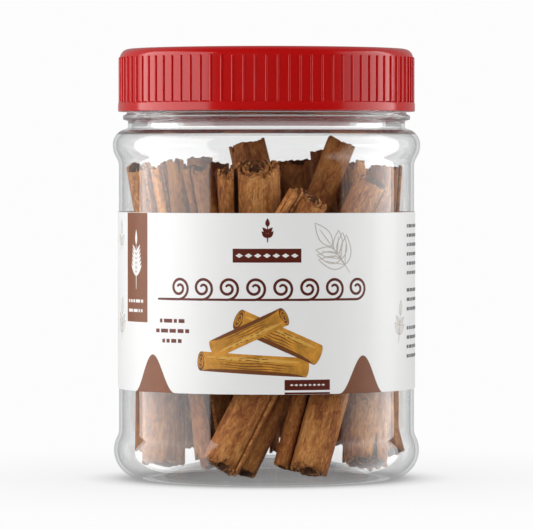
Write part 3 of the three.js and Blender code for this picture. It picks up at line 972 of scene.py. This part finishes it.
def inner_rolls(quill, seed):
    """Smaller scrolls of bark that lie in a quill's hollows, a little short of its ends."""
    hollows = []
    if quill["form"] == "double":
        for _, centre, radius, turns in two_rolls(quill):
            hollows.append((centre, radius - ROLL_PITCH * turns - BARK))
    elif quill["form"] == "scroll":
        turned_in = ROLL_PITCH * quill_turns(quill, seed)
        hollows.append((Vector((0, 0)), quill["width"] / 2 - turned_in - BARK))
    high, low = Vector(quill["top"]), Vector(quill["foot"])
    up = (high - low).normalized()
    place, spin = quill_frame(quill)
    result = []
    for index, (centre, radius) in enumerate(hollows):
        if radius > SMALLEST_HOLLOW:
            own = seed + 7 * index
            size = radius * (0.6 + 0.25 * draw(own, 31))
            aside = radius - size - 0.2
            flat = spin @ (centre + direction(360 * draw(own, 35), aside))
            shift = place @ Vector((flat.x, flat.y * quill.get("squeeze", 1), 0))
            result.append(dict(
                quill, form="scroll", width=2 * size,
                top=high + shift - up * (0.5 + 1.5 * draw(own, 32)),
                foot=low + shift + up * (0.5 + 1.5 * draw(own, 33)),
                turn=360 * draw(own, 34), slit=None, step=HIDDEN_COLUMN_STEP,
                # a little darker than the quill that it lies in
                tone_and_shade=quill["tone_and_shade"] * 0.85,
            ))
    return result


def quill_turns(quill, seed):
    """How often a scroll goes round: as often as is wished or as there is room for."""
    wish = quill.get("curl", 1.3 + 0.7 * draw(seed, 11))
    return min(wish, (quill["width"] / 2 - BARK - SCROLL_CORE) / ROLL_PITCH)


def quill_frame(quill):
    """The directions across, back and up along a quill, and the turn of its seam."""
    up = (Vector(quill["top"]) - Vector(quill["foot"])).normalized()
    back = Vector((0, 1, 0))
    back = (back - up * back.dot(up)).normalized()
    place = Matrix((back.cross(up), back, up)).transposed()
    return place, Matrix.Rotation(math.radians(quill["turn"]), 2)


def even_steps(path, step):
    """Points at equal distances of about a step along a path, and the whole length."""
    lengths = [0.0]
    for before, after in zip(path, path[1:]):
        lengths.append(lengths[-1] + (after - before).length)
    total = lengths[-1]
    columns = max(FEWEST_COLUMNS, round(total / step))
    points = []
    place = 0
    for i in range(columns + 1):
        goal = total * i / columns
        while place < len(path) - 2 and lengths[place + 1] < goal:
            place += 1
        span = max(lengths[place + 1] - lengths[place], 1e-9)
        points.append(path[place].lerp(path[place + 1], (goal - lengths[place]) / span))
    return points, total


def end_notches(quill, seed, total):
    """Deep tears at the foot and the top end: place round the sheet, depth and half the width."""
    notches = []
    for end in (0, 100):
        notches.append([(total * draw(seed, 50 + k + end), 0.6 + 3 * draw(seed, 60 + k + end) ** 3,
                         0.5 + 0.8 * draw(seed, 70 + k + end)) for k in range(4)])
    if quill.get("slit"):
        notches[0].append(quill["slit"])
    return notches


def torn_end(gone, offset, end, fray, notches):
    """How far up a torn end lies at one place round the sheet; end 0 is the foot, 1 the top."""
    tear = 0.9 * noise.noise(Vector((gone * 0.22, offset, end)))
    tear += 0.6 * fray * noise.noise(Vector((gone * 0.8, offset, end + 4)))
    tear += 0.3 * fray * noise.noise(Vector((gone * 2.7, offset, end + 8)))
    inward = 1 - 2 * end
    for middle, deep, wide in notches[end]:
        tear += inward * deep * max(0.0, 1 - abs(gone - middle) / wide)
    return tear


def dent_in_sheet(gone, rise, offset):
    """How far long flutes and small dents push the sheet out."""
    dent = 0.26 * noise.noise(Vector((gone * 0.13, rise * 0.03, offset)))
    dent += 0.08 * noise.noise(Vector((gone * 0.6, rise * 0.05, offset + 9)))
    dent += 0.03 * noise.noise(Vector((gone * 1.9, rise * 0.3, offset + 5)))
    return dent


def rolled_bark(mesh, quill, seed):
    """Rolls a flat grid of bark into a quill, tears its ends and gives it its thickness."""
    form, width = quill["form"], quill["width"]
    low = Vector(quill["foot"])
    length = (Vector(quill["top"]) - low).length
    if form == "scroll":
        path = scroll_path(quill, quill_turns(quill, seed))
    else:
        path = double_path(quill) if form == "double" else open_path(quill)
    step = quill.get("step", COLUMN_STEP)
    points, total = even_steps(path, step)
    columns = len(points) - 1
    rows = max(FEWEST_ROWS, round(length / (ROW_TO_COLUMN * step)))
    place, spin = quill_frame(quill)
    notches = end_notches(quill, seed, total)
    nod_top, nod_foot = quill["nods"]
    offset = seed * 37.7
    fray = quill.get("fray", 1)

    before = len(mesh.verts)
    bmesh.ops.create_grid(mesh, x_segments=columns, y_segments=rows, size=0.5)
    mesh.verts.ensure_lookup_table()
    sheet = mesh.verts.layers.float_vector["sheet"]
    depth = mesh.verts.layers.float_vector["depth"]
    side = mesh.verts.layers.float["side"]
    tone_and_shade = mesh.verts.layers.float["tone_and_shade"]
    made = mesh.verts[before:]
    faces = {face for vert in made for face in vert.link_faces}
    for vert in made:
        column = round((vert.co.x + 0.5) * columns)
        share = vert.co.y + 0.5
        here = points[column]
        along = (points[min(column + 1, columns)] - points[max(column - 1, 0)]).normalized()
        outward = Vector((along.y, -along.x))
        gone = total * column / columns

        # the two ends, torn and sloped
        back = (spin @ here).y / (width / 2)
        foot = torn_end(gone, offset, 0, fray, notches) - nod_foot * back
        top = length + torn_end(gone, offset, 1, fray, notches) + nod_top * back
        rise = foot + (top - foot) * share

        # a roll that is not quite even along its length
        swell = 1 + 0.05 * noise.noise(Vector((rise * 0.035, offset, 3)))
        flat = spin @ (here * swell + outward * dent_in_sheet(gone, rise, offset))
        flat.y *= quill.get("squeeze", 1)
        bow = 0.6 * math.sin(math.pi * share) * math.sin(offset)
        inner = spin @ -outward

        vert.co = (low + place @ Vector((flat.x + bow, flat.y, rise))) * MM
        vert[sheet] = (gone, rise + seed * 211.0, seed * 3.3)
        vert[depth] = place @ Vector((inner.x, inner.y, 0)) * BARK * MM
        vert[side] = 0.0
        vert[tone_and_shade] = quill["tone_and_shade"]

    wall = bmesh.ops.extrude_face_region(mesh, geom=list(faces), use_keep_orig=True)["geom"]
    for item in wall:
        if isinstance(item, bmesh.types.BMVert):
            item.co += item[depth]
            item[side] = 1.0


def make_quills():
    """One piece for each form of quill, with the rolls that lie inside it."""
    bark = cinnamon_bark()
    quills = list(FRONT_QUILLS)
    for ring in (BACK_RING, MIDDLE_RING, CENTRE_QUILL):
        quills += [standing(ring, i) for i in range(ring["count"])]
    for form in ("scroll", "double", "open"):
        mesh = bmesh.new()
        mesh.verts.layers.float_vector.new("sheet")
        mesh.verts.layers.float.new("side")
        mesh.verts.layers.float.new("tone_and_shade")
        depth = mesh.verts.layers.float_vector.new("depth")
        for seed, quill in enumerate(quills):
            if quill["form"] == form:
                rolled_bark(mesh, quill, seed + 1)
                for index, inner in enumerate(inner_rolls(quill, seed + 1)):
                    rolled_bark(mesh, inner, seed + 101 + 50 * index)
        mesh.verts.layers.float_vector.remove(depth)
        bmesh.ops.recalc_face_normals(mesh, faces=mesh.faces[:])
        add_piece("quills_" + form, mesh, bark, "cinnamon_sticks")


# ---------------- studio

def area_lamp(name, width, height, radiance):
    """A rectangular lamp that is not seen itself."""
    data = bpy.data.lights.new(name, "AREA")
    data.shape = "RECTANGLE"
    data.size = width
    data.size_y = height
    data.energy = radiance * math.pi * data.size * data.size_y
    lamp = put_in_scene(name, data)
    lamp.visible_camera = False
    lamp.visible_transmission = False
    return lamp


def soft_box(name, start, end, radiance, fade=1.0, shades=False):
    """A tall lamp panel beside the jar, seen from it between two angles from the front.

    One that shades lights matt surfaces, the others are only mirrored. It dims to `fade` of its
    radiance at the side nearer the front.
    """
    distance = LIGHT_DISTANCE if shades else BOX_DISTANCE
    top, low = (BOX_TOP, 0) if shades else (MIRRORED_TOP, BOX_LOW)
    width = 2 * distance * math.tan(math.radians(abs(end - start) / 2))
    turn = math.radians((start + end) / 2)
    lamp = area_lamp(name, width, top - low, radiance)
    lamp.location = (distance * math.sin(turn), -distance * math.cos(turn), (top + low) / 2)
    lamp.rotation_euler = (math.pi / 2, 0, turn)
    lamp.visible_diffuse = shades
    lamp.visible_glossy = not shades

    lamp.data.use_nodes = True
    tree = lamp.data.node_tree
    split = add_node(tree, "SeparateXYZ")
    place = add_node(tree, "NewGeometry").outputs["Parametric"]
    tree.links.new(place, split.inputs["Vector"])
    near, far = (fade, 1) if start > 0 else (1, fade)
    spread = ramp(tree, split.outputs["X"], [(0.0, near), (1.0, far)])
    tree.links.new(spread, tree.nodes["Emission"].inputs["Color"])


def big_lamp(name, angle, radiance):
    """A large soft lamp further off, which is never mirrored."""
    turn = math.radians(angle)
    lamp = area_lamp(name, *BIG_LAMP_SIZE, radiance)
    lamp.location = (BIG_LAMP_DISTANCE * math.sin(turn), -BIG_LAMP_DISTANCE * math.cos(turn),
                     BIG_LAMP_HEIGHT)
    aim = Vector((0, 0, AIM_HEIGHT)) - lamp.location
    lamp.rotation_euler = aim.to_track_quat("-Z", "Y").to_euler()
    lamp.visible_glossy = False


def make_world():
    """A white backdrop, a dim room behind the camera, and even light for soft shading."""
    world = bpy.data.worlds.new("studio")
    bpy.context.scene.world = world
    world.use_nodes = True
    world.cycles.sampling_method = "NONE"
    tree = world.node_tree
    background = tree.nodes["Background"]
    diffuse_ray = add_node(tree, "LightPath").outputs["Is Diffuse Ray"]
    way = add_node(tree, "TexCoord").outputs["Generated"]
    split = add_node(tree, "SeparateXYZ")
    tree.links.new(way, split.inputs["Vector"])
    depth = math_node(tree, "MULTIPLY_ADD", split.outputs["Y"], 0.5)
    depth.node.inputs[2].default_value = 0.5
    mirrored = ramp(tree, depth, [(0.35, ROOM_MIRRORED_FRONT), (0.75, ROOM_MIRRORED_BACK)])
    soft = mixed(tree, diffuse_ray, mirrored, (ROOM_LIGHT,) * 3)
    seen = either_ray(tree, "Is Camera Ray", "Is Transmission Ray")
    colour = mixed(tree, seen, soft, (BACKDROP,) * 3)
    tree.links.new(colour, background.inputs["Color"])


def make_floor():
    mesh = bmesh.new()
    bmesh.ops.create_grid(mesh, x_segments=1, y_segments=1, size=12.0)
    floor = mesh_object("studio_floor", mesh, studio_floor())
    floor.visible_glossy = False


def make_camera():
    data = bpy.data.cameras.new("camera")
    data.lens = CAMERA_LENS_MM
    data.clip_end = 60.0
    camera = put_in_scene("camera", data)
    camera.location = (0, -CAMERA_DISTANCE, CAMERA_HEIGHT)
    camera.rotation_euler = (math.radians(90 - CAMERA_PITCH_DEGREES), 0, 0)
    bpy.context.scene.camera = camera


def make_studio():
    make_world()
    make_floor()
    soft_box("left_box", *LEFT_DEGREES, 2.8, fade=0.6)
    soft_box("right_box", *RIGHT_DEGREES, 2.9, fade=0.14)
    soft_box("left_light", *LEFT_DEGREES, 1.95, shades=True)
    soft_box("right_light", *RIGHT_DEGREES, 1.75, shades=True)
    big_lamp("front_light", -16, 1.75)
    big_lamp("back_light", 170, 2.4)
    make_camera()
    scene = bpy.context.scene
    scene.view_settings.view_transform = "Standard"
    scene.cycles.transparent_max_bounces = 16


make_jar()
make_lid()
make_label()
make_print()
make_quills()
make_studio()
